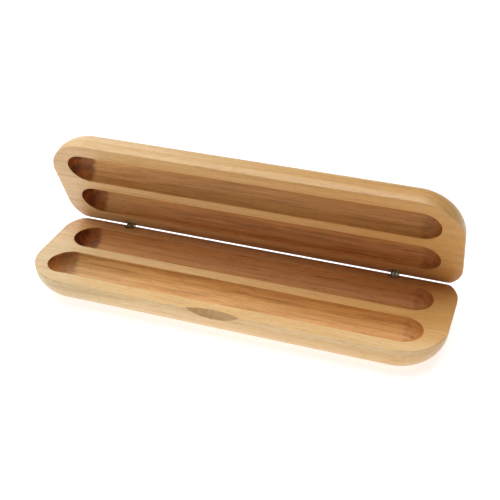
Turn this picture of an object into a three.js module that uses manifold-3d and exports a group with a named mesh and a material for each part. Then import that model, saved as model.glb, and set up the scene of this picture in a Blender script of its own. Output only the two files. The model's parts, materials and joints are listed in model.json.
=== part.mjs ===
// Two-pen wooden case: a base and a lid milled from solid hardwood, each with two round-bottomed pen
// grooves, joined along the rear edge by two small barrel hinges and held shut by hidden disc magnets.
// Millimetres. X runs along the case, Y towards the hinges, Z up. The origin is the centre of the base's
// underside. The lid stands open at REST_OPENING degrees; at 0 degrees the two halves lie face to face.
import * as THREE from "three";
import { mergeVertices } from "three/addons/utils/BufferGeometryUtils.js";
import Module from "manifold-3d";

const wasm = await Module();
wasm.setup();

// Wooden halves
const CASE_L = 175;
const CASE_W = 54.7;
const HALF_T = 13.6;
const FRONT_CORNER_R = 19.4;
const REAR_CORNER_R = 14.5;
const SIDE_FLAT = 1.0;
const SIDE_ROUND_IN = 13.6;
const REAR_ROUND_IN = 4.0;
const REAR_EASE_R = 5.5;

// Pen grooves
const GROOVE_R = 8.1;
const GROOVE_END_MARGIN = 8.6;
const GROOVE_SHIFT_X = -0.4;
const REAR_GROOVE_INSET = 18.5;
const FRONT_GROOVE_INSET = 14.6;

// Finger scoop in the front edge of the base
const SCOOP_X = -1.2;
const SCOOP_L = 22.6;
const SCOOP_IN = 2.15;
const SCOOP_DOWN = 3.3;

// Barrel hinges
const HINGE_END_MARGIN = 27.5;
const BARREL_R = 2.7;
const BARREL_L = 5.6;
const BARREL_REAR_WALL = 1.25;
const BARREL_EASE = 0.4;
const BARREL_RIB_W = 0.7;
const BARREL_RIB_DEPTH = 0.16;
const BARREL_RIB_HEIGHTS = [1.0, 2.5];
const PIN_R = 0.6;
const PIN_DEPTH = 1.4;
const LUG_WALL = 0.6;
const LINK_WALL = 0.55;
const LINKS_PER_HINGE = 3;

// Disc magnets under wood plugs
const MAGNET_END_MARGIN = 10.9;
const MAGNET_FRONT_MARGIN = 5.55;
const MAGNET_R = 1.5;
const MAGNET_T = 2.0;
const PLUG_T = 1.1;

// Clearances
const CLOSED_GAP = 0.2;
const BORE_CLEAR = 0.1;
const PIN_CLEAR = 0.05;
const LEAF_GAP = 0.12;
const LEAF_CLEAR = 0.15;
const POCKET_CLEAR = 0.1;

// Pose and motion
const REST_OPENING = 65;

const GROOVE_L = CASE_L - 2 * GROOVE_END_MARGIN;
const REAR_GROOVE_Y = CASE_W / 2 - REAR_GROOVE_INSET;
const FRONT_GROOVE_Y = FRONT_GROOVE_INSET - CASE_W / 2;
const HINGE_X = CASE_L / 2 - HINGE_END_MARGIN;
const HINGE_Y = CASE_W / 2 - BARREL_R - BARREL_REAR_WALL;
const MAGNET_X = CASE_L / 2 - MAGNET_END_MARGIN;
const MAGNET_Y = MAGNET_FRONT_MARGIN - CASE_W / 2;
const LUG_R = PIN_R + LUG_WALL;
const LINK_R = PIN_R + LINK_WALL;
const PIN_SPACING = 2 * PIN_DEPTH + CLOSED_GAP;
const HALF_ANGLE = THREE.MathUtils.degToRad(REST_OPENING / 2);
const BORE_R = BARREL_R + BORE_CLEAR;
const BARREL_TOP = -(LINK_R + LEAF_CLEAR);
const LUG_COUNT = LINKS_PER_HINGE + 1;
// The lugs and leaves alternate across the widest stack that stays inside the barrel's circle.
const STACK = 2 * Math.sqrt(BARREL_R ** 2 - LUG_R ** 2) - LEAF_GAP / 4;
const LEAF_PITCH = (STACK + LEAF_GAP) / (LUG_COUNT + LINKS_PER_HINGE);
const LEAF_T = LEAF_PITCH - LEAF_GAP;

const maple = new THREE.MeshStandardMaterial({ color: 0xdcb583, roughness: 0.5, metalness: 0 });
const brass = new THREE.MeshStandardMaterial({ color: 0x7a6238, roughness: 0.4, metalness: 1 });
const steel = new THREE.MeshStandardMaterial({ color: 0x8d8a84, roughness: 0.3, metalness: 1 });
const nickel = new THREE.MeshStandardMaterial({ color: 0xb9b8b4, roughness: 0.25, metalness: 1 });

// A closed geometry as a solid that can be joined and cut.
function solid(geometry) {
  const bare = geometry.clone();
  bare.deleteAttribute("normal");
  bare.deleteAttribute("uv");
  const merged = mergeVertices(bare, 1e-4);
  return new wasm.Manifold(
    new wasm.Mesh({
      numProp: 3,
      vertProperties: new Float32Array(merged.attributes.position.array),
      triVerts: new Uint32Array(merged.index.array),
    }),
  );
}

function piece(name, shape, material) {
  const data = shape.getMesh();
  const geometry = new THREE.BufferGeometry();
  geometry.setAttribute("position", new THREE.BufferAttribute(data.vertProperties, 3));
  geometry.setIndex(new THREE.BufferAttribute(data.triVerts, 1));
  geometry.computeVertexNormals();
  const mesh = new THREE.Mesh(geometry, material.clone());
  mesh.name = name;
  return mesh;
}

// Upright round bar from z0 to z1.
function bar(radius, z0, z1, x, y, segments) {
  const geometry = new THREE.CylinderGeometry(radius, radius, z1 - z0, segments);
  geometry.rotateX(Math.PI / 2);
  geometry.translate(x, y, (z0 + z1) / 2);
  return solid(geometry);
}

// Round bar along X, centred at x on the line (y, z).
function crossBar(radius, length, x, y, z, segments) {
  const geometry = new THREE.CylinderGeometry(radius, radius, length, segments);
  geometry.rotateZ(-Math.PI / 2);
  geometry.translate(x, y, z);
  return solid(geometry);
}

// A flat profile drawn in (y, z), made `thickness` thick and centred at x.
function plate(profile, thickness, x, curveSegments) {
  const geometry = new THREE.ExtrudeGeometry(profile, {
    depth: thickness,
    bevelEnabled: false,
    curveSegments,
  });
  geometry.translate(0, 0, -thickness / 2);
  // shape axes (x, y) become (Y, Z), and the extrusion runs along X
  geometry.applyMatrix4(new THREE.Matrix4().set(0, 0, 1, x, 1, 0, 0, 0, 0, 1, 0, 0, 0, 0, 0, 1));
  return solid(geometry);
}

// Plan outline of a half: large round corners in front, smaller ones at the hinge side.
function planOutline() {
  const frontX = CASE_L / 2 - FRONT_CORNER_R;
  const rearX = CASE_L / 2 - REAR_CORNER_R;
  const frontY = FRONT_CORNER_R - CASE_W / 2;
  const rearY = CASE_W / 2 - REAR_CORNER_R;
  const outline = new THREE.Shape();
  outline.absarc(frontX, frontY, FRONT_CORNER_R, -Math.PI / 2, 0, false);
  outline.absarc(rearX, rearY, REAR_CORNER_R, 0, Math.PI / 2, false);
  outline.absarc(-rearX, rearY, REAR_CORNER_R, Math.PI / 2, Math.PI, false);
  outline.absarc(-frontX, frontY, FRONT_CORNER_R, Math.PI, 1.5 * Math.PI, false);
  return outline;
}

// Solid half below its mating plane (z = 0). The sides round over in an ellipse to the outer face; the
// hinge side keeps a steeper wall, so that there is wood behind the hinge barrels.
function blankHalf() {
  const roundDepth = HALF_T - SIDE_FLAT;
  const geometry = new THREE.ExtrudeGeometry(planOutline(), {
    depth: 2 * SIDE_FLAT,
    bevelThickness: roundDepth,
    bevelSize: SIDE_ROUND_IN,
    bevelOffset: -SIDE_ROUND_IN,
    bevelSegments: 7,
    curveSegments: 10,
  });
  geometry.translate(0, 0, -SIDE_FLAT);
  const position = geometry.attributes.position;
  for (let i = 0; i < position.count; i++) {
    const y = position.getY(i);
    if (y <= 0) continue;
    const below = Math.max(0, Math.abs(position.getZ(i)) - SIDE_FLAT) / roundDepth;
    const inset = 1 - Math.sqrt(Math.max(0, 1 - below * below));
    const wanted = CASE_W / 2 - REAR_ROUND_IN * inset;
    const drawn = CASE_W / 2 - SIDE_ROUND_IN * inset;
    position.setY(i, (y * wanted) / drawn);
  }
  const lower = new THREE.BoxGeometry(CASE_L + 2, CASE_W + 2, HALF_T + 1);
  lower.translate(0, 0, -(HALF_T + 1) / 2);
  return solid(geometry).intersect(solid(lower));
}

// What a straight pass of a rounding cutter takes off the rear mating edge.
function rearEase() {
  const rear = CASE_W / 2;
  const profile = new THREE.Shape();
  profile.moveTo(rear - REAR_EASE_R, 2);
  profile.lineTo(rear - REAR_EASE_R, 0);
  profile.absarc(rear - REAR_EASE_R, -REAR_EASE_R, REAR_EASE_R, Math.PI / 2, 0, true);
  profile.lineTo(rear + 2, -REAR_EASE_R);
  profile.lineTo(rear + 2, 2);
  return plate(profile, CASE_L + 4, 0, 12);
}

// Round-bottomed groove with ball ends, cut by half of a capsule.
function groove(x, y) {
  const geometry = new THREE.CapsuleGeometry(GROOVE_R, GROOVE_L - 2 * GROOVE_R, 7, 32);
  geometry.rotateZ(Math.PI / 2);
  geometry.translate(x, y, 0);
  return solid(geometry);
}

// Finger scoop: a wide drum whose axis leans across the front edge, so that it takes a lens-shaped bite.
function scoop() {
  const slope = Math.hypot(SCOOP_IN, SCOOP_DOWN);
  const bite = (SCOOP_IN * SCOOP_DOWN) / slope;
  const radius = ((SCOOP_L / 2) ** 2 + bite ** 2) / (2 * bite);
  const along = new THREE.Vector3(0, -SCOOP_IN, -SCOOP_DOWN).normalize();
  const outward = new THREE.Vector3(0, -SCOOP_DOWN, SCOOP_IN).normalize();
  const middle = new THREE.Vector3(SCOOP_X, SCOOP_IN / 2 - CASE_W / 2, -SCOOP_DOWN / 2);
  const centre = middle.addScaledVector(outward, radius);
  const geometry = new THREE.CylinderGeometry(radius, radius, 30, 144);
  geometry.applyQuaternion(
    new THREE.Quaternion().setFromUnitVectors(new THREE.Vector3(0, 1, 0), along),
  );
  geometry.translate(centre.x, centre.y, centre.z);
  return solid(geometry);
}

const pocketDepth = PLUG_T + MAGNET_T + 3 * POCKET_CLEAR;
const boreDepth = PIN_DEPTH + BARREL_L + 2 * BORE_CLEAR;

// One milled half. `turned` is 1 for the base and -1 for the lid, which is turned over about Y when it is
// placed. Only the base has the finger scoop.
function half(turned) {
  const shift = turned * GROOVE_SHIFT_X;
  let wood = blankHalf()
    .subtract(rearEase())
    .subtract(groove(shift, REAR_GROOVE_Y))
    .subtract(groove(shift, FRONT_GROOVE_Y));
  for (const side of [-1, 1]) {
    wood = wood
      .subtract(bar(BORE_R, -boreDepth, 2, side * HINGE_X, HINGE_Y, 24))
      .subtract(bar(MAGNET_R + POCKET_CLEAR, -pocketDepth, 2, side * MAGNET_X, MAGNET_Y, 20));
  }
  return turned > 0 ? wood.subtract(scoop()) : wood;
}

// Hinge barrel below its pin (the pin is at y = 0, z = 0): a ribbed cylinder with slotted lugs on top.
function barrel() {
  const bottom = -BARREL_L;
  const profile = [new THREE.Vector2(0, bottom), new THREE.Vector2(BARREL_R - BARREL_EASE, bottom)];
  profile.push(new THREE.Vector2(BARREL_R, bottom + BARREL_EASE));
  const neck = BARREL_R - BARREL_RIB_DEPTH;
  for (const height of BARREL_RIB_HEIGHTS) {
    const z = bottom + height;
    profile.push(new THREE.Vector2(BARREL_R, z));
    profile.push(new THREE.Vector2(neck, z + BARREL_RIB_DEPTH));
    profile.push(new THREE.Vector2(neck, z + BARREL_RIB_W));
    profile.push(new THREE.Vector2(BARREL_R, z + BARREL_RIB_W + BARREL_RIB_DEPTH));
  }
  profile.push(new THREE.Vector2(BARREL_R, BARREL_TOP));
  profile.push(new THREE.Vector2(0, BARREL_TOP));
  const geometry = new THREE.LatheGeometry(profile, 24);
  geometry.rotateX(Math.PI / 2);
  const lug = new THREE.Shape();
  lug.moveTo(LUG_R, 0);
  lug.absarc(0, 0, LUG_R, 0, Math.PI, false);
  lug.lineTo(-LUG_R, BARREL_TOP - 0.6);
  lug.lineTo(LUG_R, BARREL_TOP - 0.6);
  let body = solid(geometry);
  for (let i = 0; i < LUG_COUNT; i++) {
    const x = (2 * i - (LUG_COUNT - 1)) * LEAF_PITCH;
    body = body.add(plate(lug, LEAF_T, x, 6));
  }
  return body.subtract(crossBar(PIN_R + PIN_CLEAR, 3 * BARREL_R, 0, 0, 0, 16));
}

const pinLength = (LUG_COUNT * 2 - 2) * LEAF_PITCH + LEAF_T;

// Link leaf from the lower pin (0, 0) to the upper pin (0, PIN_SPACING).
function link(x) {
  const profile = new THREE.Shape();
  profile.absarc(0, PIN_SPACING, LINK_R, 0, Math.PI, false);
  profile.absarc(0, 0, LINK_R, Math.PI, 2 * Math.PI, false);
  return plate(profile, LEAF_T, x, 8)
    .subtract(crossBar(PIN_R + PIN_CLEAR, 2, x, 0, 0, 16))
    .subtract(crossBar(PIN_R + PIN_CLEAR, 2, x, 0, PIN_SPACING, 16));
}

// A half with its barrels, pins, magnets and plugs, in a frame whose origin is the middle of the pin line.
function fittedHalf(name, turned) {
  const group = new THREE.Group();
  const wood = piece(name + "_wood", half(turned), maple);
  wood.position.set(0, -HINGE_Y, PIN_DEPTH);
  group.add(wood);
  for (const side of [-1, 1]) {
    // The lid is turned over, so its left fittings carry the opposite side.
    const label = side * turned < 0 ? "left" : "right";
    const body = piece(name + "_barrel_" + label, barrel(), brass);
    body.position.x = side * HINGE_X;
    const pin = piece(name + "_pin_" + label, crossBar(PIN_R, pinLength, 0, 0, 0, 16), steel);
    pin.position.x = side * HINGE_X;
    const plug = piece(
      name + "_plug_" + label,
      bar(MAGNET_R, -PLUG_T, 0, side * MAGNET_X, MAGNET_Y, 20),
      maple,
    );
    plug.position.copy(wood.position);
    const magnetTop = -PLUG_T - POCKET_CLEAR;
    const magnet = piece(
      name + "_magnet_" + label,
      bar(MAGNET_R, magnetTop - MAGNET_T, magnetTop, side * MAGNET_X, MAGNET_Y, 20),
      nickel,
    );
    magnet.position.copy(wood.position);
    group.add(body, pin, plug, magnet);
  }
  return group;
}

const base = fittedHalf("base", 1);

const lid = fittedHalf("lid", -1);
lid.rotation.y = Math.PI;

const lidSwing = new THREE.Group();
lidSwing.position.z = PIN_SPACING;
lidSwing.rotation.x = -HALF_ANGLE;
lidSwing.add(lid);

const links = new THREE.Group();
links.rotation.x = -HALF_ANGLE;
for (const side of [-1, 1]) {
  for (let i = 0; i < LINKS_PER_HINGE; i++) {
    const x = (2 * i - (LINKS_PER_HINGE - 1)) * LEAF_PITCH;
    const label = (side < 0 ? "left_" : "right_") + (i + 1);
    const leaf = piece("link_" + label, link(x), brass);
    leaf.position.x = side * HINGE_X;
    links.add(leaf);
  }
}
links.add(lidSwing);

// The pin line of the base carries everything; it lies PIN_DEPTH under the base's mating plane.
const penCase = new THREE.Group();
const pinLine = new THREE.Group();
pinLine.position.set(0, HINGE_Y, HALF_T - PIN_DEPTH);
pinLine.add(base, links);
penCase.add(pinLine);

export default penCase;
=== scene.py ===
# %% [markdown]
# # A wooden case for a pair of pens
# The case is two blocks of pale, straight-grained hardwood. Each is milled with two round-bottomed
# grooves, rounded over on the outside, lacquered, and joined to the other by two small barrel hinges.
# Everything is in metres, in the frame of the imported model: X runs along the case, Y towards the hinges
# and Z up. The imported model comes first, because every piece made here rides on one of its bodies.

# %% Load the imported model
import json
import math
from collections import namedtuple

import bmesh
import bpy
from mathutils import Matrix, Quaternion, Vector


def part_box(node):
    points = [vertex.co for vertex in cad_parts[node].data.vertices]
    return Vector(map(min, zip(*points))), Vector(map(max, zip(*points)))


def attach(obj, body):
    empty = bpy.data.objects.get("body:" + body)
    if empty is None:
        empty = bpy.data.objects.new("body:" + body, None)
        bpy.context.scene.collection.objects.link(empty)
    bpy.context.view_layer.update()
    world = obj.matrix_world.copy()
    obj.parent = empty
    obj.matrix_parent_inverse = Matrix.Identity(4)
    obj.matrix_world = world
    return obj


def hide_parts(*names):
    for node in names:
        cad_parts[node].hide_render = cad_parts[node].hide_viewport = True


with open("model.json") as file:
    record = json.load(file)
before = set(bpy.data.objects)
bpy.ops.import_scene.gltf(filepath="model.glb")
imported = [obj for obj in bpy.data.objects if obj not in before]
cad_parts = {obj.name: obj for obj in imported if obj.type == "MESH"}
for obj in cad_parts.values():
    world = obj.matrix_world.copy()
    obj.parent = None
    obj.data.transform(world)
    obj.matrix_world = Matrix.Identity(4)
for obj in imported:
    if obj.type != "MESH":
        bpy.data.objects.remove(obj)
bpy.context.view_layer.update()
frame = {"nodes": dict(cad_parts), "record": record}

MM = 0.001

# %% [markdown]
# ## Sizes and places
# The imported model already says where the halves and the hinge pins are, so those places are read from
# it. Only the sizes that a maker would read off the drawing are given here.

# %% Places read from the imported model
joints = {joint["name"]: joint for joint in frame["record"]["behaviour"]["joints"]}
base_pin = Vector(joints["link_swing"]["pos_m"])
lid_pin = Vector(joints["lid_swing"]["pos_m"])
base_low, base_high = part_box("base_wood")

LENGTH = base_high.x - base_low.x
THICK = base_high.z
HINGE_Y = base_pin.y
PIN_DEPTH = THICK - base_pin.z
PIN_SPACING = (lid_pin - base_pin).length
OPENING = 2 * math.atan2(lid_pin.y - base_pin.y, lid_pin.z - base_pin.z)
print("lid stands open by", round(math.degrees(OPENING), 1), "degrees")
print("pins", round(PIN_SPACING / MM, 2), "mm apart,", round(PIN_DEPTH / MM, 2), "mm deep")

# %% Sizes from the drawing
WIDTH = 54.7 * MM
FRONT_CORNER = 19.4 * MM
REAR_CORNER = 14.5 * MM
REAR_EASE = 5.5 * MM
GROOVE_R = 8.1 * MM
GROOVE_L = 157.8 * MM
GROOVE_SHIFT = -0.4 * MM
GROOVE_ROWS = (8.85 * MM, -12.75 * MM)
HINGE_X = 60 * MM
STRAIGHT = GROOVE_L - 2 * GROOVE_R
print("grooves:", round(GROOVE_L / MM, 1), "mm long,", round(2 * GROOVE_R / MM, 1), "mm wide")

# %% [markdown]
# Both halves are drawn the same way up, with the mating face at height zero. One matrix lifts the base
# on to the floor. The other turns the lid over and swings it open about its hinge pins.

# %% Where the two halves go
to_base = Matrix.Translation((0, 0, THICK))
lid_turn = Matrix.Rotation(-OPENING, 4, "X")
turn_over = Matrix.Rotation(math.pi, 4, "Y")
pins_to_origin = Matrix.Translation((0, -HINGE_Y, PIN_DEPTH))
to_lid = Matrix.Translation(lid_pin) @ lid_turn @ turn_over @ pins_to_origin
lid_front = to_lid @ Vector((0, -WIDTH / 2, 0))
print("lid's front edge rises to", round(lid_front.z / MM, 1), "mm")

# %% [markdown]
# ## Camera
# The case is seen from its front right and about thirty degrees up. A short telephoto lens keeps the
# near end from looking much larger than the far one. The camera is placed on a line from the middle of
# the case, so its azimuth, elevation and distance can each be changed alone. Pale wood on a white sheet
# needs its tones left as they are, so the plain view transform is used and not the film-like one.

# %% Camera
AIM = Vector((4.1, 2.2, 26.3)) * MM
AZIMUTH = math.radians(19.21)
ELEVATION = math.radians(31.58)
DISTANCE = 386.5 * MM
TILT = math.radians(0.19)

out_to_camera = Vector(
    (
        math.sin(AZIMUTH) * math.cos(ELEVATION),
        -math.cos(AZIMUTH) * math.cos(ELEVATION),
        math.sin(ELEVATION),
    )
)
level_look = (-out_to_camera).to_track_quat("-Z", "Y")
camera = bpy.data.objects.new("camera", bpy.data.cameras.new("camera"))
bpy.context.collection.objects.link(camera)
camera.data.lens = 68.8
camera.data.sensor_width = 36
camera.data.clip_start = 0.01
camera.location = AIM + out_to_camera * DISTANCE
camera.rotation_mode = "QUATERNION"
camera.rotation_quaternion = level_look @ Quaternion((0, 0, 1), TILT)
bpy.context.scene.camera = camera
bpy.context.scene.view_settings.view_transform = "Standard"
print("camera at", [round(v, 3) for v in camera.location])

# %% [markdown]
# ## Light
# Four square panels light the case. A large one overhead does most of the work. One high on the left
# and one behind it on the left make the left end the brighter one and rim the lid. A weak one low in
# front reaches into the fold between the halves. Large panels near a small object give soft shadows
# without any other setting.

# %% Lights
PANELS = (
    # name, place and size in metres, power in watts
    ("ceiling_panel", (0, 0, 1.25), 1.15, 13.6),
    ("left_panel", (-0.82, 0, 0.9), 0.68, 4.7),
    ("back_left_panel", (-0.85, 0.85, 0.6), 0.85, 3.9),
    ("front_fill", (-0.55, -1.05, 0.4), 0.6, 1.25),
)
ROOM_STRENGTH = 0.03


def soft_light(name, place, size, watts):
    """A square panel light that looks at the middle of the case."""
    lamp = bpy.data.lights.new(name, "AREA")
    lamp.size = size
    lamp.energy = watts
    holder = bpy.data.objects.new(name, lamp)
    holder.location = place
    holder.rotation_mode = "QUATERNION"
    holder.rotation_quaternion = (Vector(place) - AIM).to_track_quat("Z", "Y")
    bpy.context.collection.objects.link(holder)


for panel in PANELS:
    soft_light(*panel)

room = bpy.data.worlds.new("studio_room")
bpy.context.scene.world = room
room.use_nodes = True
room.node_tree.nodes["Background"].inputs["Color"].default_value = (1, 1, 1, 1)
room.node_tree.nodes["Background"].inputs["Strength"].default_value = ROOM_STRENGTH
print("lights:", [panel[0] for panel in PANELS])

# %% [markdown]
# ## A shorthand for node trees
# Materials and Geometry Nodes are both graphs of sockets. `Socket` wraps one output socket, so that
# sums of sockets are written as plain arithmetic, and each sign adds its Math node.


# %% Socket arithmetic
class Socket:
    """One output socket, with arithmetic that adds Math nodes."""

    def __init__(self, graph, out):
        self.graph = graph
        self.out = out

    def apply(self, operation, *others):
        """Any Math operation, with this socket as its first value."""
        return self.graph.node("ShaderNodeMath", {"operation": operation}, self, *others)

    def __add__(self, other):
        return self.apply("ADD", other)

    def __mul__(self, other):
        return self.apply("MULTIPLY", other)

    __radd__ = __add__
    __rmul__ = __mul__

    def __sub__(self, other):
        return self.apply("SUBTRACT", other)

    def __rsub__(self, other):
        return self.graph.node("ShaderNodeMath", {"operation": "SUBTRACT"}, other, self)

    def __truediv__(self, other):
        return self.apply("DIVIDE", other)

    def __rtruediv__(self, other):
        return self.graph.node("ShaderNodeMath", {"operation": "DIVIDE"}, other, self)

    def __pow__(self, other):
        return self.apply("POWER", other)

    def __gt__(self, other):
        return self.apply("GREATER_THAN", other)

    def __lt__(self, other):
        return self.apply("LESS_THAN", other)

    def __neg__(self):
        return self.apply("MULTIPLY", -1.0)

    def __abs__(self):
        return self.apply("ABSOLUTE")


print("signs that add Math nodes: + - * / ** > < and abs()")

# %% [markdown]
# `Graph.node` adds every other kind of node. It takes the node's type, its settings, and the values or
# links of its sockets, by order or by name. The settings are set first, because some of them change
# which sockets a node has. A colour given as three numbers gets its fourth here.


# %% A graph of nodes
class Graph:
    """A node tree that hands out wrapped sockets."""

    def __init__(self, tree):
        self.tree = tree

    def node(self, kind, settings=None, *values, output=0, **named):
        """Add a node, set its properties, fill its sockets, and give back one output."""
        made = self.tree.nodes.new(kind)
        for key, value in (settings or {}).items():
            if key == "stops":
                self.set_stops(made.color_ramp, value)
            else:
                setattr(made, key, value)
        self.fill(made, *values, **named)
        return Socket(self, made.outputs[output]) if len(made.outputs) else None

    def fill(self, made, *values, **named):
        """Link or set a node's input sockets, by order or by name."""
        pairs = list(zip(made.inputs, values))
        pairs += [(made.inputs[key.replace("_", " ")], value) for key, value in named.items()]
        for socket, value in pairs:
            if isinstance(value, Socket):
                self.tree.links.new(value.out, socket)
            elif socket.type == "RGBA" and value is not None:
                socket.default_value = (*value[:3], 1.0)
            elif value is not None:
                socket.default_value = value

    @staticmethod
    def set_stops(ramp, stops):
        """Make a colour ramp hold exactly these places and colours."""
        while len(ramp.elements) > 1:
            ramp.elements.remove(ramp.elements[-1])
        ramp.elements[0].position, ramp.elements[0].color = stops[0][0], (*stops[0][1], 1)
        for place, colour in stops[1:]:
            ramp.elements.new(place).color = (*colour, 1)

    def outputs(self, kind, *values):
        """All the named outputs of a new node, by name."""
        first = self.node(kind, None, *values)
        return {out.name: Socket(self, out) for out in first.out.node.outputs if out.name}


print("Graph.node takes a node's type, its settings and its sockets")

# %% [markdown]
# Four nodes come up so often that each gets a name of its own: the three parts of a vector, a noise, a
# smooth step from 0 to 1, and a mix of two colours.


# %% Often-used nodes
class Pattern(Graph):
    """A graph with the nodes that materials and shapes use again and again."""

    def split(self, vector):
        return list(self.outputs("ShaderNodeSeparateXYZ", vector).values())

    def noise(self, vector, scale, detail, roughness=0.55):
        sockets = {"Vector": vector, "Scale": scale, "Detail": detail, "Roughness": roughness}
        return self.node("ShaderNodeTexNoise", None, **sockets)

    def step(self, value, low, high):
        """0 below low, 1 above high, smooth between."""
        smooth = {"interpolation_type": "SMOOTHSTEP"}
        return self.node("ShaderNodeMapRange", smooth, value, low, high, 0.0, 1.0)

    def mix(self, share, first, second, blend="MIX"):
        """A share of the second colour over the first."""
        settings = {"data_type": "RGBA", "blend_type": blend}
        number_and_vector_sockets = [None] * 5
        colours = (*number_and_vector_sockets, first, second)
        return self.node("ShaderNodeMix", settings, share, *colours, output=2)


def new_material(name):
    """An empty node material, the graph to draw in, and its Principled shader."""
    material = bpy.data.materials.new(name)
    material.use_nodes = True
    shader = material.node_tree.nodes["Principled BSDF"]
    return material, Pattern(material.node_tree), shader


print("often-used nodes: split, noise, step, mix")

# %% [markdown]
# ## The wood
# The real halves are cut from the solid, so the grain runs through them: long streaks on the faces and
# sides, and dots and rings where the cutter crosses the fibres at the groove ends. A picture wrapped
# round the shape could not do that. The wood here is a solid pattern in space instead, read at each
# point of the surface.
#
# Each surface has three tones, from dark to pale. A lacquered face is the palest. A milled groove is
# richer, and has more open fibres and less gloss. The finger scoop is given browner tones.

# %% Tones and finishes of the wood
FACE_TONES = ((0.62, 0.355, 0.13), (0.785, 0.525, 0.24), (0.86, 0.63, 0.355))
GROOVE_TONES = ((0.46, 0.20, 0.05), (0.76, 0.415, 0.135), (0.87, 0.54, 0.215))
SCOOP_TONES = ((0.42, 0.23, 0.09), (0.56, 0.34, 0.14), (0.64, 0.41, 0.19))
PORE_BROWN = (0.27, 0.12, 0.045)
STREAK_BROWN = (0.22, 0.085, 0.03)

# fibre and mottle are contrasts, and pores, streaks and figure are shares of brown
Finish = namedtuple("Finish", "tones fibre pores streaks figure mottle roughness coat")
LACQUERED = Finish(FACE_TONES, 1.0, 0.34, 0.10, 0.16, 0.5, 0.44, 0.35)
MILLED = Finish(GROOVE_TONES, 1.7, 0.42, 0.24, 0.55, 0.0, 0.60, 0.1)
SCOOPED = LACQUERED._replace(tones=SCOOP_TONES)
print("middle tones of face, groove and scoop:", FACE_TONES[1], GROOVE_TONES[1], SCOOP_TONES[1])

# %% [markdown]
# The two halves come from different parts of the plank, so each has its own heart line, the middle of
# its growth rings, and its own stretch of noise. The lid's grain lies in the lid's own plane, so its
# swing is undone before the pattern is read. Noise is drawn out along the grain by counting many
# grains to the metre across the wood and few along it.

# %% Where each half was in the plank
Plank = namedtuple("Plank", "is_lid swing heart slide")
BASE_PLANK = Plank(False, 0.0, (-0.03, -0.12), 0.0)
LID_PLANK = Plank(True, OPENING, (0.05, 0.16), 0.37)
GRAIN_TILT = (0.012, 0.008)


class Board:
    """The grain of one half, as coordinates and noises in a material's graph."""

    def __init__(self, g, plank):
        self.g = g
        self.plank = plank
        place = g.node("ShaderNodeTexCoord", output="Object")
        self.grain = g.node(
            "ShaderNodeMapping",
            None,
            Vector=place,
            Location=(plank.slide, 0.0, 0.0),
            Rotation=(plank.swing, *GRAIN_TILT),
        )
        _, self.across, self.up = g.split(self.grain)
        self.along = g.split(place)[0]
        pin = lid_pin if plank.is_lid else base_pin
        self.from_hinge = (Matrix.Rotation(plank.swing, 3, "X") @ pin).y - self.across

    def noise(self, along, across, detail=2.0, roughness=0.55):
        """Noise with this many grains to the metre along and across the wood."""
        counts = (along, across, across)
        drawn = self.g.node("ShaderNodeVectorMath", {"operation": "MULTIPLY"}, self.grain, counts)
        return self.g.noise(drawn, 1.0, detail, roughness)

    def patches(self, along, across, low, high, detail=2.0, roughness=0.55):
        """Noise hardened into patches: 1 inside, 0 outside."""
        return self.g.step(self.noise(along, across, detail, roughness), low, high)


print("heart lines of base and lid:", BASE_PLANK.heart, LID_PLANK.heart, "m")

# %% [markdown]
# Growth rings are circles about the heart line, bent a little by noise. Each ring darkens slowly
# through the year and ends in a sharp edge, so its profile is a slow rise and a quick fall.

# %% Growth rings
RINGS_PER_METRE = 330.0


def growth_rings(board):
    """1 on the dark late wood of each ring, 0 on the pale early wood."""
    g = board.g
    drift = board.noise(5.0, 22.0)
    y = board.across - board.plank.heart[0]
    z = board.up - board.plank.heart[1]
    from_heart = (y * y + z * z) ** 0.5
    ring = (from_heart * RINGS_PER_METRE + drift * 2.6).apply("FRACT")
    return g.step(ring, 0.45, 0.93) * (1.0 - g.step(ring, 0.94, 1.0))


print("one ring every", round(1 / RINGS_PER_METRE / MM, 1), "mm")

# %% [markdown]
# Over the rings lie broad bands, fibres of two sizes, short dark pores and longer brown streaks, which
# gather in a few patches of figure. All of them shift one value, and a colour ramp turns the value into
# a tone. Pores and streaks are then mixed in as browns, because they are dirt and resin and not a
# darker shade of the same wood.

# %% Grain of the wood
Grain = namedtuple("Grain", "colour fibre fine pores")


def draw_grain(board, finish):
    """The plain colour of the wood, and the parts of it that also stand up as relief."""
    g = board.g
    broad = board.noise(7.0, 60.0, 3.0)
    fibre = board.noise(26.0, 800.0, 3.0, 0.6)
    fine = board.noise(75.0, 2600.0, 2.0, 0.6)
    pores = board.patches(330.0, 3300.0, 0.62, 0.74, 1.0, 0.4)
    value = 0.52 + (broad - 0.5) * 0.7 + (fibre - 0.5) * (0.55 * finish.fibre)
    value = value + (fine - 0.5) * (0.45 * finish.fibre) - growth_rings(board) * 0.13
    if finish.mottle:
        value = value + (board.noise(240.0, 900.0, 2.0, 0.7) - 0.5) * finish.mottle
    dark, middle, pale = finish.tones
    stops = [(0.10, dark), (0.48, middle), (0.84, pale)]
    colour = g.node("ShaderNodeValToRGB", {"stops": stops}, value)
    colour = g.mix(pores * finish.pores, colour, PORE_BROWN)
    streak = board.patches(30.0, 520.0, 0.60, 0.74)
    figure = board.patches(16.0, 70.0, 0.46, 0.66)
    colour = g.mix(streak * (figure * finish.figure + finish.streaks), colour, STREAK_BROWN)
    return Grain(colour, fibre, fine, pores)


print("grain shares, face against groove:", LACQUERED[1:6], MILLED[1:6])
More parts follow.
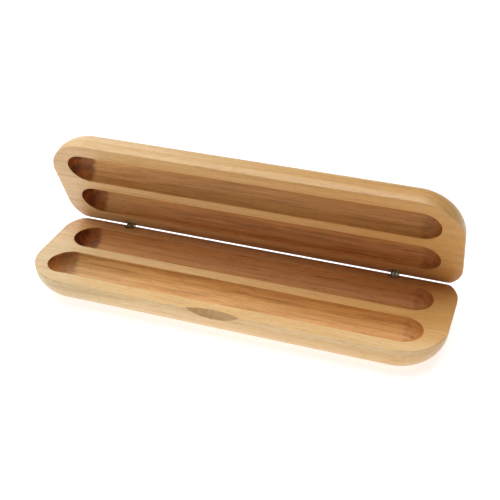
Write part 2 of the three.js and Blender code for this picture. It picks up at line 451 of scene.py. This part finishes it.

# %% [markdown]
# A half's colour is multiplied by painted light and shade. A cool tint on the front of the base's left
# end is a painted sheen from the light on the left. To the right, where less light falls, the wood is
# darkened to honey as painted shade, on the faces more so near the hinges, but much less along the
# base's front edge, which is out in the light. A reddish painted shade lies along the hinges, in the fold
# between the halves, where light is bounced between the two woods. The lid's outer half is darkened as
# painted shade, most in its groove. Each is a colour that multiplies the wood, with a smooth mask for its
# place, measured along the case or from the line of the hinge pins.

# %% Painted light and shade over a half
# Tints of painted light and shade: a honey shade for the less lit right end, a red shade for the fold
# along the hinges, two shades for the lid's outer half, and a cool painted sheen for the base's left end.
HONEY_PAINTED_SHADE = (0.86, 0.69, 0.44)
FOLD_PAINTED_SHADE = (1.0, 0.80, 0.70)
LID_PAINTED_SHADE = (0.83, 0.74, 0.62)
LID_GROOVE_PAINTED_SHADE = (0.69, 0.57, 0.42)
LEFT_PAINTED_SHEEN = (0.84, 0.905, 0.97)


def painted_light_and_shade(board, colour, milled):
    """Multiply the plain wood by painted light and shade over its half."""
    g = board.g
    off_left = g.step(board.along, -0.080, -0.025)
    outer = g.step(board.from_hinge, 0.026, 0.034)
    near_hinge = 1.0 - g.step(board.from_hinge, 0.002, 0.020)
    # painted shade: towards the right, where less light falls, the wood is darkened to honey
    honey = g.step(board.along, -0.035, 0.085) * 0.65
    # on the faces the painted shade is deeper nearer the hinges
    if not milled:
        honey = honey * (1.4 - outer * 0.5)
    if board.plank.is_lid:
        # painted shade in the fold along the hinges, reddened as by light bounced between the woods, less
        # at the left end
        red = near_hinge * off_left * 0.7
        # painted shade on the lid's outer half, deeper in its groove and fading at the left end
        tint, share = (LID_GROOVE_PAINTED_SHADE, outer * off_left) if milled else (LID_PAINTED_SHADE, outer * 0.7)
    else:
        # painted shade in the fold along the hinges, reddened as by light bounced between the woods
        red = near_hinge * 0.85
        # painted sheen: a cool tint on the front of the base's left end, from the light on the left
        tint, share = LEFT_PAINTED_SHEEN, g.step(board.from_hinge, 0.016, 0.030) * (1.0 - off_left)
        # painted light: along the front edge of the base's top, out in the light, most of the painted
        # shade is taken off
        front_strip = g.step(board.from_hinge, 0.036, 0.048) * g.step(board.up, 0.009, 0.0125)
        honey = honey * (1.0 - front_strip * 0.85)
    colour = g.mix(share, colour, tint, "MULTIPLY")
    colour = g.mix(honey, colour, HONEY_PAINTED_SHADE, "MULTIPLY")
    return g.mix(red, colour, FOLD_PAINTED_SHADE, "MULTIPLY")


print("tints:", {"honey": HONEY_PAINTED_SHADE, "red": FOLD_PAINTED_SHADE, "shade": LID_PAINTED_SHADE, "grey": LEFT_PAINTED_SHEEN})

# %% [markdown]
# At a groove's ends the ball cutter stands still and cuts across the fibres. The end grain there soaks
# up lacquer and the cutter rubs it brown. The left ends get more brown as painted shade, since they face
# away from the light on the left, and the ends of the base's front groove less, as painted light, since
# that groove is out in the light. The mask begins where the straight part of the groove stops, with a
# ragged edge.

# %% Brown ball ends of the grooves
END_BROWN = (0.10, 0.022, 0.003)
END_ORANGE = (0.44, 0.125, 0.012)
END_BLEND = 1.4 * MM


def brown_ball_ends(board, colour, end_grain):
    """Mix the brown end grain, with painted shade and light at the ends, into a groove's colour."""
    g = board.g
    speckle = board.noise(1100.0, 1500.0, 3.0, 0.65)
    blotch = board.noise(160.0, 230.0)
    end_colour = g.mix(g.step(speckle * 0.4 + blotch * 0.6, 0.36, 0.64), END_BROWN, END_ORANGE)
    ragged = (board.noise(200.0, 500.0) - 0.5) * (3.6 * MM)
    from_middle = abs(board.along - GROOVE_SHIFT) + ragged
    ball_end = g.step(from_middle, STRAIGHT / 2 - END_BLEND, STRAIGHT / 2 + END_BLEND)
    # end grain brown, plus painted shade at the left ends, which face away from the light on the left
    end_brown_and_left_shade = (board.along < 0.0) * 0.42 + 0.36
    share = ball_end * (end_brown_and_left_shade + end_grain * 0.26)
    # painted light: the base's front groove is out in the light, so its ends are made less brown
    if not board.plank.is_lid:
        share = share * (1.0 - g.step(board.from_hinge, 0.022, 0.030) * 0.28)
    return g.mix(share, colour, end_colour)


print("ball ends start", round(STRAIGHT / 2 / MM, 1), "mm from the middle of a groove")

# %% [markdown]
# The last part of a surface is what the tools leave on it. The ball cutter leaves fine ripples across
# the grooves, strong in some patches and sanded away in others. The drum leaves upright scratches in
# the scoop. Both are relief first and colour second, so they go to the bump as well.

# %% Marks of the tools
RIPPLES = 7400.0


def groove_ripples(board):
    """Ripples across a groove: 1 on the crests, 0 where they are sanded away."""
    wobble = board.noise(40.0, 40.0)
    crests = ((board.along * RIPPLES + wobble * 6.0).apply("SINE") + 1.0) * 0.5
    return crests * board.patches(30.0, 120.0, 0.45, 0.7)


def drum_scratches(board):
    """Scratches across the grain, as the drum leaves them."""
    return board.noise(1100.0, 60.0, 3.0, 0.7)


print("ripples every", round(2 * math.pi / RIPPLES / MM, 2), "mm")

# %% [markdown]
# One function puts a wood together: grain, drift of colour, tool marks, then lacquer. The lacquer is a
# coat on the Principled shader, thick on the faces and thin in the grooves, and the pores stay a little
# rougher than the wood round them. The relief is a tenth of a millimetre, so it is left to a bump.

# %% Wood material
RELIEF = 0.14 * MM


def wood(name, plank, finish):
    """Pale lacquered hardwood on one kind of surface of one half."""
    material, g, shader = new_material(name)
    board = Board(g, plank)
    grain = draw_grain(board, finish)
    colour = painted_light_and_shade(board, grain.colour, milled=finish is MILLED)
    facing_end = abs(g.split(g.node("ShaderNodeNewGeometry", output="Normal"))[0])
    end_grain = g.step(facing_end, 0.35, 0.95)
    height = grain.fibre * 0.35 + grain.fine * 0.35 - grain.pores * 0.8
    if finish is MILLED:
        ripples = groove_ripples(board)
        height = height + ripples * 0.5
        colour = brown_ball_ends(board, colour, end_grain)
        colour = g.mix(ripples * 0.12, colour, STREAK_BROWN)
    else:
        colour = g.mix(end_grain * 0.25, colour, finish.tones[0])
    if finish is SCOOPED:
        scratches = drum_scratches(board)
        height = height + scratches * 1.2
        colour = g.mix(g.step(scratches, 0.4, 0.62) * 0.45, colour, finish.tones[0])
    rough = finish.roughness + (board.noise(30.0, 90.0) - 0.5) * 0.16 + grain.pores * 0.2
    bump = g.node("ShaderNodeBump", None, Strength=0.3, Distance=RELIEF, Height=height)
    g.fill(shader, Base_Color=colour, Roughness=rough, Normal=bump)
    g.fill(shader, Coat_Weight=finish.coat, Coat_Roughness=0.3, IOR=1.5)
    return material


base_face = wood("base_wood_lacquered", BASE_PLANK, LACQUERED)
base_groove = wood("base_wood_milled", BASE_PLANK, MILLED)
base_scoop = wood("base_wood_scooped", BASE_PLANK, SCOOPED)
lid_face = wood("lid_wood_lacquered", LID_PLANK, LACQUERED)
lid_groove = wood("lid_wood_milled", LID_PLANK, MILLED)
print("nodes in a face and a groove:", [len(m.node_tree.nodes) for m in (base_face, base_groove)])

# %% [markdown]
# ## The rounded wall of a half
# Seen from above, a half is a rectangle with large round corners in front and smaller ones at the
# hinges. Its wall drops straight for a millimetre and then rounds over in an ellipse to the outer face.
# That is a rule, so Geometry Nodes make it, and every number of it stays a named input. Two helpers
# come first: one that starts a tree with its inputs, and one that runs a tree and keeps the result as
# a plain mesh, so that nothing live is left on the piece.


# %% Starting and running a Geometry Nodes tree
def new_tree(name, sizes, counts=()):
    """A tree with one input for each size and count, and one for its material."""
    tree = bpy.data.node_groups.new(name, "GeometryNodeTree")
    tree.interface.new_socket("Geometry", in_out="OUTPUT", socket_type="NodeSocketGeometry")
    inputs = [(size, "NodeSocketFloat") for size in sizes]
    inputs += [(count, "NodeSocketInt") for count in counts] + [("Finish", "NodeSocketMaterial")]
    for label, kind in inputs:
        tree.interface.new_socket(label, in_out="INPUT", socket_type=kind)
    g = Pattern(tree)
    return tree, g, g.outputs("NodeGroupInput")


def end_tree(g, shape, finish):
    """Close a tree: real geometry, with its material, out to the mesh."""
    shape = g.node("GeometryNodeRealizeInstances", None, shape)
    shape = g.node("GeometryNodeSetMaterial", None, Geometry=shape, Material=finish)
    g.node("NodeGroupOutput", None, shape)


def grow(tree, name, **values):
    """Run a tree on an empty object and return its result as a plain mesh object."""
    holder = bpy.data.objects.new(name, bpy.data.meshes.new(name))
    bpy.context.collection.objects.link(holder)
    modifier = holder.modifiers.new("nodes", "NODES")
    modifier.node_group = tree
    for item in tree.interface.items_tree:
        key = item.name.replace(" ", "_")
        if item.in_out == "INPUT" and key in values:
            modifier[item.identifier] = values[key]
    bpy.context.view_layer.update()
    evaluated = holder.evaluated_get(bpy.context.evaluated_depsgraph_get())
    mesh = bpy.data.meshes.new_from_object(evaluated)
    bpy.data.objects.remove(holder)
    made = bpy.data.objects.new(name, mesh)
    bpy.context.collection.objects.link(made)
    return made


print("a tree's inputs are set by identifier before it is first run")

# %% [markdown]
# The outline is a rectangle whose corners are rounded by two radii, one in front and one behind. The
# profile is a short line of points, moved on to a quarter circle for the rim and then on to the quarter
# ellipse of the side. Sweeping the profile along the outline makes the wall.

# %% Outline and profile of the wall
CORNER_POINTS = 40
WALL_POINTS = 34
RIM_POINTS = 5


def half_outline(g, size):
    """A rectangle with its front corners rounder than its rear ones."""
    box = g.node("GeometryNodeCurvePrimitiveQuadrilateral", None, size["Length"], size["Width"])
    y = g.split(g.node("GeometryNodeInputPosition"))[1]
    corner = size["Front corner"] + (size["Rear corner"] - size["Front corner"]) * (y > 0.0)
    poly = {"mode": "POLY"}
    return g.node("GeometryNodeFilletCurve", poly, Curve=box, Radius=corner, Count=CORNER_POINTS)


def wall_profile(g, size):
    """A small round rim, a short flat, then a quarter ellipse down to the outer face."""
    line = g.node("GeometryNodeCurvePrimitiveLine")
    line = g.node("GeometryNodeResampleCurve", None, Curve=line, Count=WALL_POINTS)
    index = g.node("GeometryNodeInputIndex")
    on_rim = index < RIM_POINTS
    rim_turn = index * (math.pi / 2 / RIM_POINTS)
    side_turn = (index - RIM_POINTS) * (math.pi / 2 / (WALL_POINTS - 1 - RIM_POINTS))
    rim_in = size["Rim"] * (1.0 - rim_turn.apply("SINE"))
    rim_down = size["Rim"] * (1.0 - rim_turn.apply("COSINE"))
    side_in = size["Round in"] * (1.0 - side_turn.apply("COSINE"))
    side_down = size["Flat"] + size["Round down"] * side_turn.apply("SINE")
    inward = side_in + (rim_in - side_in) * on_rim
    down = side_down + (rim_down - side_down) * on_rim
    place = g.node("ShaderNodeCombineXYZ", None, -inward, down, 0.0)
    return g.node("GeometryNodeSetPosition", None, Geometry=line, Position=place)


print("wall:", WALL_POINTS, "points down,", RIM_POINTS, "of them on the rim")

# %% [markdown]
# On the hinge side the wall has to be steeper, to leave wood behind the hinge bores. The swept wall is
# the same all round, so the rear half of it is stretched outwards afterwards, by a factor that grows
# with depth and brings each point from the wide ellipse to a narrow one.

# %% Geometry Nodes tree for the wall
WALL_SIZES = ("Length", "Width", "Front corner", "Rear corner", "Rim", "Flat", "Round in")
WALL_SIZES += ("Round down", "Rear round in")


def steepen_hinge_side(g, size, wall):
    """Stretch the rear of the wall outwards, so that it rounds in less."""
    x, y, z = g.split(g.node("GeometryNodeInputPosition"))
    below = ((-z - size["Flat"]) / size["Round down"]).apply("MAXIMUM", 0.0).apply("MINIMUM", 1.0)
    inset = 1.0 - (1.0 - below * below) ** 0.5
    half_width = size["Width"] * 0.5
    swept_y = half_width - size["Round in"] * inset
    steep_y = half_width - size["Rear round in"] * inset
    factor = 1.0 + (steep_y / swept_y - 1.0) * (y > 0.0)
    place = g.node("ShaderNodeCombineXYZ", None, x, y * factor, z)
    return g.node("GeometryNodeSetPosition", None, Geometry=wall, Position=place)


def wall_tree():
    tree, g, size = new_tree("rounded_wall", WALL_SIZES)
    outline, profile = half_outline(g, size), wall_profile(g, size)
    wall = g.node("GeometryNodeCurveToMesh", None, Curve=outline, Profile_Curve=profile)
    end_tree(g, steepen_hinge_side(g, size, wall), size["Finish"])
    return tree


rounded_wall = wall_tree()
print("wall tree:", len(rounded_wall.nodes), "nodes,", len(WALL_SIZES), "sizes")

# %% [markdown]
# The wall is an open band. Its two holes, the mating face and the outer face, are flat, so each is
# closed with one face. A blank with no open edges is a solid that a cutter can be taken from.

# %% The uncut half
RIM = 0.3 * MM
SIDE_FLAT = 1.0 * MM
ROUND_IN = 13.6 * MM
REAR_ROUND_IN = 4.0 * MM


def close_flat_ends(half):
    """Fill the two flat openings and say how solid the result is."""
    shape = bmesh.new()
    shape.from_mesh(half.data)
    bmesh.ops.remove_doubles(shape, verts=shape.verts, dist=0.001 * MM)
    bmesh.ops.holes_fill(shape, edges=[e for e in shape.edges if e.is_boundary])
    bmesh.ops.recalc_face_normals(shape, faces=shape.faces)
    open_edges = sum(e.is_boundary for e in shape.edges)
    print(half.name, "blank:", round(shape.calc_volume() * 1e6, 1), "cm3,", open_edges, "open edges")
    shape.to_mesh(half.data)
    shape.free()


def blank_half(name, material):
    """The uncut half, face up, with its mating plane at z = 0."""
    half = grow(
        rounded_wall,
        name,
        Length=LENGTH,
        Width=WIDTH,
        Front_corner=FRONT_CORNER,
        Rear_corner=REAR_CORNER,
        Rim=RIM,
        Flat=SIDE_FLAT,
        Round_in=ROUND_IN,
        Round_down=THICK - SIDE_FLAT,
        Rear_round_in=REAR_ROUND_IN,
        Finish=material,
    )
    close_flat_ends(half)
    return half


base_half = blank_half("base_half", base_face)
lid_half = blank_half("lid_half", lid_face)

# %% [markdown]
# ## Milling the halves
# A workshop would clamp the blank and send its tools over it: a ball cutter for the grooves, a drill
# for the hinges and magnets, a rounding cutter along the rear edge and a drum for the finger scoop.
# Each tool is made here as the solid it sweeps, a skin over rings of points, and a Boolean takes it off
# the blank. The exact solver is chosen because several cutters only just touch the blank's own faces.
# The cut faces keep the tool's material, which is how the grooves get their milled wood.


# %% Solids for the tools
def mesh_object(name, shape, material):
    """Turn a bmesh into an object with outward faces."""
    bmesh.ops.remove_doubles(shape, verts=shape.verts, dist=0.0001 * MM)
    bmesh.ops.recalc_face_normals(shape, faces=shape.faces)
    mesh = bpy.data.meshes.new(name)
    shape.to_mesh(mesh)
    shape.free()
    mesh.materials.append(material)
    made = bpy.data.objects.new(name, mesh)
    bpy.context.collection.objects.link(made)
    return made


def skin(name, rings, material, open_end=False):
    """A closed solid over rings of points. A last ring that shrinks to a line needs no end face."""
    shape = bmesh.new()
    rows = [[shape.verts.new(point) for point in ring] for ring in rings]
    for low, high in zip(rows[:-1], rows[1:]):
        for i in range(len(low)):
            j = (i + 1) % len(low)
            shape.faces.new((low[i], low[j], high[j], high[i]))
    shape.faces.new(rows[0][::-1])
    if not open_end:
        shape.faces.new(rows[-1])
    return mesh_object(name, shape, material)


def cut(target, cutter):
    """Take a cutter off a piece; the cut faces keep the cutter's material."""
    modifier = target.modifiers.new("cut", "BOOLEAN")
    modifier.operation = "DIFFERENCE"
    modifier.solver = "EXACT"
    modifier.material_mode = "TRANSFER"
    modifier.object = cutter
    evaluated = target.evaluated_get(bpy.context.evaluated_depsgraph_get())
    mesh = bpy.data.meshes.new_from_object(evaluated)
    target.modifiers.remove(modifier)
    target.data = mesh
    bpy.data.objects.remove(cutter)


print("blanks before milling:", len(base_half.data.polygons), "faces each")

# %% [markdown]
# A ball cutter that travels in a straight line sweeps a half-round trough with ball ends. Seen from
# above, each level of it is a racetrack, so the solid is a stack of racetracks that shrink to a line at
# the bottom. Above the trough the first few rings flare out a little, which eases the groove's lip.

# %% Ball cutter for the grooves
LIP_DEPTH = 0.4 * MM
LIP_FLARE = ((0.62, 1.0), (0.17, -0.04), (0.07, -0.14), (0.015, -0.26))
BALL_STEPS = 30
HALF_CIRCLE_STEPS = 28


def racetrack(radius, straight, x, y, z):
    """Two half circles joined by straight sides, at one height."""
    points = []
    for side in (1, -1):
        for i in range(HALF_CIRCLE_STEPS + 1):
            turn = math.pi * i / HALF_CIRCLE_STEPS - side * math.pi / 2
            end = x + side * straight / 2
            points.append((end + radius * math.cos(turn), y + radius * math.sin(turn), z))
    return points


def ball_cutter(x, y, material, straight=STRAIGHT, radius=GROOVE_R):
    """What a ball of this radius sweeps along a straight run."""
    rings = [racetrack(radius + out * MM, straight, x, y, z * MM) for out, z in LIP_FLARE]
    start = math.asin(LIP_DEPTH / radius)
    for i in range(BALL_STEPS + 1):
        sink = start + (math.pi / 2 - start) * i / BALL_STEPS
        reach = max(radius * math.cos(sink), 0.0)
        rings.append(racetrack(reach, straight, x, y, -radius * math.sin(sink)))
    return skin("ball_cutter", rings, material, open_end=True)


print("ball cutter:", round(2 * GROOVE_R / MM, 1), "mm across, travels", round(STRAIGHT / MM, 1), "mm")

# %% [markdown]
# The drill is a plain cylinder that stands a little above the wood. It bores the blind holes for the
# hinge barrels, and the shallower pockets where a magnet sits under a plug of the same wood. A pocket
# is cut almost to the size of its plug, because a glued plug shows no dark ring round it.

# %% Drill for the hinges and magnets
BORE_R = 2.8 * MM
BORE_DEPTH = 7.2 * MM
MAGNET_X = 76.6 * MM
MAGNET_Y = -21.8 * MM
PLUG_R = 1.504 * MM
MAGNET_DEPTH = 3.4 * MM
DRILL_SIDES = 56
CLEAR_OF_WOOD = 2 * MM


def drill(x, y, radius, depth, material):
    """A round cutter from above the mating face down to a depth."""
    turns = [2 * math.pi * i / DRILL_SIDES for i in range(DRILL_SIDES)]
    circle = [(x + radius * math.cos(turn), y + radius * math.sin(turn)) for turn in turns]
    rings = [[(px, py, z) for px, py in circle] for z in (-depth, CLEAR_OF_WOOD)]
    return skin("drill", rings, material)


print("hinge bores:", round(2 * BORE_R / MM, 1), "mm across,", round(BORE_DEPTH / MM, 1), "mm deep")

# %% [markdown]
# The rear edge of the mating face is rounded over, so that the halves can roll past each other as the
# lid opens. The cutter is what such a rounding removes: a square bar with a quarter circle taken out
# of the corner that faces the wood.

# %% Rounding cutter for the rear edge
EASE_STEPS = 32
BAR_MARGIN = 3 * MM


def rounding_cutter(material):
    """The bar of waste outside the rounded rear edge, longer than the case."""
    rear = WIDTH / 2
    inner = rear - REAR_EASE
    corner = [(inner, BAR_MARGIN), (inner, 0.0)]
    for i in range(1, EASE_STEPS + 1):
        turn = math.pi / 2 * (1 - i / EASE_STEPS)
        corner.append((inner + REAR_EASE * math.cos(turn), REAR_EASE * (math.sin(turn) - 1)))
    corner += [(rear + BAR_MARGIN, -REAR_EASE), (rear + BAR_MARGIN, BAR_MARGIN)]
    rings = [[(x, y, z) for y, z in corner] for x in (-LENGTH, LENGTH)]
    return skin("rounding_cutter", rings, material)


print("rear edge rounded by", round(REAR_EASE / MM, 1), "mm")

# %% [markdown]
# The finger scoop is a lens-shaped bite out of the front edge. A wide drum that leans against the edge
# makes it: the drum's axis runs down the slope of the bite, and its radius follows from the bite's
# length and depth, since both are a chord and its rise on the same circle.

# %% Drum for the finger scoop
SCOOP_X = -1.2 * MM
SCOOP_L = 22.6 * MM
SCOOP_IN = 2.15 * MM
SCOOP_DOWN = 3.3 * MM
DRUM_SIDES = 360
DRUM_REACH = 15 * MM

scoop_bite = SCOOP_IN * SCOOP_DOWN / math.hypot(SCOOP_IN, SCOOP_DOWN)
drum_radius = ((SCOOP_L / 2) ** 2 + scoop_bite**2) / (2 * scoop_bite)


def scoop_drum(material):
    """A wide drum leaning across the front edge."""
    axis = Vector((0, -SCOOP_IN, -SCOOP_DOWN)).normalized()
    outward = Vector((0, -SCOOP_DOWN, SCOOP_IN)).normalized()
    sideways = Vector((1, 0, 0))
    bottom = Vector((SCOOP_X, SCOOP_IN / 2 - WIDTH / 2, -SCOOP_DOWN / 2))
    middle = bottom + outward * drum_radius
    turns = [2 * math.pi * i / DRUM_SIDES for i in range(DRUM_SIDES)]
    circle = [(sideways * math.cos(turn) + outward * math.sin(turn)) * drum_radius for turn in turns]
    rings = [[middle + p + axis * reach for p in circle] for reach in (-DRUM_REACH, DRUM_REACH)]
    return skin("scoop_drum", rings, material)


print("scoop:", round(scoop_bite / MM, 2), "mm deep, drum radius", round(drum_radius / MM, 1), "mm")

# %% [markdown]
# Both halves get the same cuts. The base's grooves sit a little to the left. The lid is drawn face up
# and turned over later, so its shift is the other way here. Only the base has the scoop, and a mark at
# the left of its front groove, where the cutter first went down slightly off its line.

# %% Mill the halves
PLUNGE_LEFT = 1.05 * MM
PLUNGE_FRONT = 0.75 * MM
PLUNGE_RUN = 0.1 * MM
PLUNGE_R = 7.6 * MM


def mill(half, face, groove, groove_shift):
    """The cuts that both halves share."""
    cut(half, rounding_cutter(face))
    for row in GROOVE_ROWS:
        cut(half, ball_cutter(groove_shift, row, groove))
    for side in (-1, 1):
        cut(half, drill(side * HINGE_X, HINGE_Y, BORE_R, BORE_DEPTH, groove))
        cut(half, drill(side * MAGNET_X, MAGNET_Y, PLUG_R, MAGNET_DEPTH, face))
    print(half.name, "milled:", len(half.data.polygons), "faces")


mill(base_half, base_face, base_groove, GROOVE_SHIFT)
cut(base_half, scoop_drum(base_scoop))
plunge_x = GROOVE_SHIFT - STRAIGHT / 2 - PLUNGE_LEFT
plunge_y = GROOVE_ROWS[1] - PLUNGE_FRONT
cut(base_half, ball_cutter(plunge_x, plunge_y, base_groove, PLUNGE_RUN, PLUNGE_R))
mill(lid_half, lid_face, lid_groove, -GROOVE_SHIFT)

# %% [markdown]
# Smooth shading hides the small facets of the curves, but it would also round off the look of the flat
# faces. So edges next to a flat face, and edges with a real corner, are marked sharp. Then each half is
# moved to its place in the mesh itself, rides its body, and takes the place of the model's plain half.

# %% Shade the halves and put them in place
SHARP_ANGLE = math.radians(32)


def is_smooth(edge):
    """True on curved skin, False beside a flat face or at a real corner."""
    if any(abs(face.normal.z) > 0.9999 for face in edge.link_faces):
        return False
    return len(edge.link_faces) != 2 or edge.calc_face_angle(0) <= SHARP_ANGLE


def finish_half(half, place, body, node):
    """Set the shading, the place and the body of a milled half, and hide the model's plain half."""
    shape = bmesh.new()
    shape.from_mesh(half.data)
    for face in shape.faces:
        face.smooth = True
    for edge in shape.edges:
        edge.smooth = is_smooth(edge)
    shape.transform(place)
    shape.to_mesh(half.data)
    volume = round(shape.calc_volume() * 1e6, 1)
    open_edges = sum(not edge.is_manifold for edge in shape.edges)
    shape.free()
    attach(half, body)
    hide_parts(node)
    print(half.name, "in place:", volume, "cm3,", open_edges, "open edges")


finish_half(base_half, to_base, "base", "base_wood")
finish_half(lid_half, to_lid, "lid", "lid_wood")

# %% [markdown]
# ## Hinge metal
# The barrels and leaves are small brass turnings gone brown with handling, the pins are steel and the
# magnets are nickel plated. All three are one finish with different numbers: a dull tone, and a
# brighter and smoother one where the metal has rubbed. Noise decides which is where, and the same
# noise gives the surface its slight unevenness.

# %% Metal materials
PATCHES_PER_METRE = 2600.0
METAL_RELIEF = 0.03 * MM


def metal(name, dull, bright, rubbed_rough, dull_rough):
    """Small metal parts with patchy tarnish."""
    material, g, shader = new_material(name)
    place = g.node("ShaderNodeTexCoord", output="Object")
    patch = g.noise(place, PATCHES_PER_METRE, 4.0, 0.6)
    rubbed = g.step(patch, 0.42, 0.62)
    rough = dull_rough + rubbed * (rubbed_rough - dull_rough)
    bump = g.node("ShaderNodeBump", None, Strength=0.25, Distance=METAL_RELIEF, Height=patch)
    g.fill(shader, Base_Color=g.mix(rubbed, dull, bright), Roughness=rough, Normal=bump)
    g.fill(shader, Metallic=1.0)
    return material


brass = metal("tarnished_brass", (0.25, 0.145, 0.06), (0.80, 0.55, 0.29), 0.28, 0.5)
steel = metal("pin_steel", (0.30, 0.29, 0.27), (0.55, 0.54, 0.52), 0.32, 0.58)
nickel = metal("nickel_plate", (0.52, 0.51, 0.49), (0.72, 0.71, 0.69), 0.2, 0.35)
print("metals:", [brass.name, steel.name, nickel.name])

# %% [markdown]
# ## Hinge leaves
# Between its two barrels a hinge has a stack of flat leaves on two pins, kept apart by short spacers.
# It is one shape repeated at an even pitch, which is work for Geometry Nodes. A round-ended outline is
# swept along a short line that narrows at its ends, so each leaf gets a small chamfer, and the leaf is
# set on a row of points. The spacers are the same tree with other sizes.

# %% Geometry Nodes tree for a stack of plates
PLATE_SIZES = ("Pitch", "Thickness", "Chamfer", "Width", "Height", "Corner")
OUTLINE_POINTS = 12


def plate(g, size):
    """One plate: an outline swept through its thickness, narrower at both ends."""
    box = g.node("GeometryNodeCurvePrimitiveQuadrilateral", None, size["Width"], size["Height"])
    poly = {"mode": "POLY"}
    outline = g.node(
        "GeometryNodeFilletCurve", poly, Curve=box, Radius=size["Corner"], Count=OUTLINE_POINTS
    )
    line = g.node("GeometryNodeCurvePrimitiveLine")
    line = g.node("GeometryNodeResampleCurve", None, Curve=line, Count=4)
    index = g.node("GeometryNodeInputIndex")
    side = (index > 1.5) * 2.0 - 1.0
    at_end = abs(index - 1.5) > 1.0
    x = side * (size["Thickness"] * 0.5 - size["Chamfer"] * (1.0 - at_end))
    place = g.node("ShaderNodeCombineXYZ", None, x, 0.0, 0.0)
    line = g.node("GeometryNodeSetPosition", None, Geometry=line, Position=place)
    narrow = 1.0 - at_end * (size["Chamfer"] * 2.0 / size["Width"])
    sweep = {"Curve": line, "Profile_Curve": outline, "Scale": narrow, "Fill_Caps": True}
    return g.node("GeometryNodeCurveToMesh", None, **sweep)


def stack_tree():
    """Copies of one plate on a row of points, centred on the origin."""
    tree, g, size = new_tree("plate_stack", PLATE_SIZES, counts=("Count",))
    first = (size["Count"] - 1.0) * size["Pitch"] * -0.5
    start = g.node("ShaderNodeCombineXYZ", None, first, 0.0, 0.0)
    pitch = g.node("ShaderNodeCombineXYZ", None, size["Pitch"], 0.0, 0.0)
    line = {"Count": size["Count"], "Start_Location": start, "Offset": pitch}
    row = g.node("GeometryNodeMeshLine", None, **line)
    stack = g.node("GeometryNodeInstanceOnPoints", None, Points=row, Instance=plate(g, size))
    end_tree(g, stack, size["Finish"])
    return tree


plate_stack = stack_tree()
print("stack tree:", len(plate_stack.nodes), "nodes,", len(PLATE_SIZES) + 1, "sizes")

# %% [markdown]
# The leaves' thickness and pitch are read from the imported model, and their length from the distance of
# the pins. The spacers fill the room between them, so that no light comes through the stack. The
# finished stack leans half as far as the lid, because the leaves turn by half of its opening.

# %% Leaves of both hinges
leaf_low, leaf_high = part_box("link_left_1")
LEAF_T = leaf_high.x - leaf_low.x
LEAF_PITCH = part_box("link_left_2")[0].x - leaf_low.x
LEAF_R = 1.15 * MM
LEAVES = {
    "Count": 3,
    "Pitch": LEAF_PITCH,
    "Thickness": LEAF_T,
    "Chamfer": 0.05 * MM,
    "Width": 2 * LEAF_R,
    "Height": PIN_SPACING + 2 * LEAF_R,
    "Corner": LEAF_R * 0.999,
}
SPACERS = {
    "Count": 2,
    "Pitch": LEAF_PITCH,
    "Thickness": LEAF_PITCH - LEAF_T,
    "Chamfer": 0.02 * MM,
    "Width": 1.9 * MM,
    "Height": 0.46 * MM,
    "Corner": 0.2 * MM,
}
middle_of_pins = (base_pin + lid_pin) / 2


def hinge_stack(label, x):
    """Leaves and spacers of one hinge, as one mesh in its place."""
    leaves = grow(plate_stack, "leaves_" + label, Finish=brass, **LEAVES)
    spacers = grow(plate_stack, "spacers_" + label, Finish=brass, **SPACERS)
    shape = bmesh.new()
    shape.from_mesh(leaves.data)
    shape.from_mesh(spacers.data)
    bpy.data.objects.remove(spacers)
    bmesh.ops.remove_doubles(shape, verts=shape.verts, dist=0.0001 * MM)
    bmesh.ops.recalc_face_normals(shape, faces=shape.faces)
    place = Matrix.Translation((x, middle_of_pins.y, middle_of_pins.z))
    shape.transform(place @ Matrix.Rotation(-OPENING / 2, 4, "X"))
    shape.to_mesh(leaves.data)
    print(leaves.name, "at x =", round(x / MM, 1), "mm:", len(shape.faces), "faces")
    shape.free()
    return leaves


for label, x in (("left", -HINGE_X), ("right", HINGE_X)):
    leaves = hinge_stack(label, x)
    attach(leaves, "links")
    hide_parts(*(f"link_{label}_{i}" for i in (1, 2, 3)))

# %% [markdown]
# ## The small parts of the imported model
# The barrels, pins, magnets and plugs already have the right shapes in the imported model. They stay as
# they are and only get a finish, chosen by the word in their name. A plug is a slice of the same plank
# as its half, so it takes that half's face material and its grain runs on across the glue line.

# %% Finishes of the small parts
FINISHES = {"barrel": brass, "link": brass, "pin": steel, "magnet": nickel}
dressed = 0
for name, node in frame["nodes"].items():
    chosen = [finish for word, finish in FINISHES.items() if word in name]
    if "plug" in name:
        chosen = [lid_face if name.startswith("lid") else base_face]
    if chosen:
        node.data.materials.clear()
        node.data.materials.append(chosen[0])
        dressed += 1
print("small parts with a finish:", dressed)

# %% [markdown]
# ## Floor
# The case stands on a plain pale sheet that is large enough to run out of the view. Lit by the panels
# alone, a sheet as bright as this would need so much light that the wood would burn out. So the sheet
# is a mid grey that also glows a little: it comes out nearly white and still takes a soft shadow.

# %% Floor
FLOOR_HALF = 6.0
FLOOR_GLOW = 0.72

floor_material, g, shader = new_material("pale_floor")
speck = g.noise(g.node("ShaderNodeTexCoord", output="Object"), 60.0, 2.0)
floor_grey = g.mix(speck, (0.58, 0.58, 0.58), (0.62, 0.62, 0.62))
g.fill(shader, Base_Color=floor_grey, Roughness=0.7)
g.fill(shader, Emission_Color=(1.0, 1.0, 1.0), Emission_Strength=FLOOR_GLOW)
sheet = bmesh.new()
bmesh.ops.create_grid(sheet, x_segments=2, y_segments=2, size=FLOOR_HALF)
floor = mesh_object("floor", sheet, floor_material)
print("floor:", 2 * FLOOR_HALF, "m across")
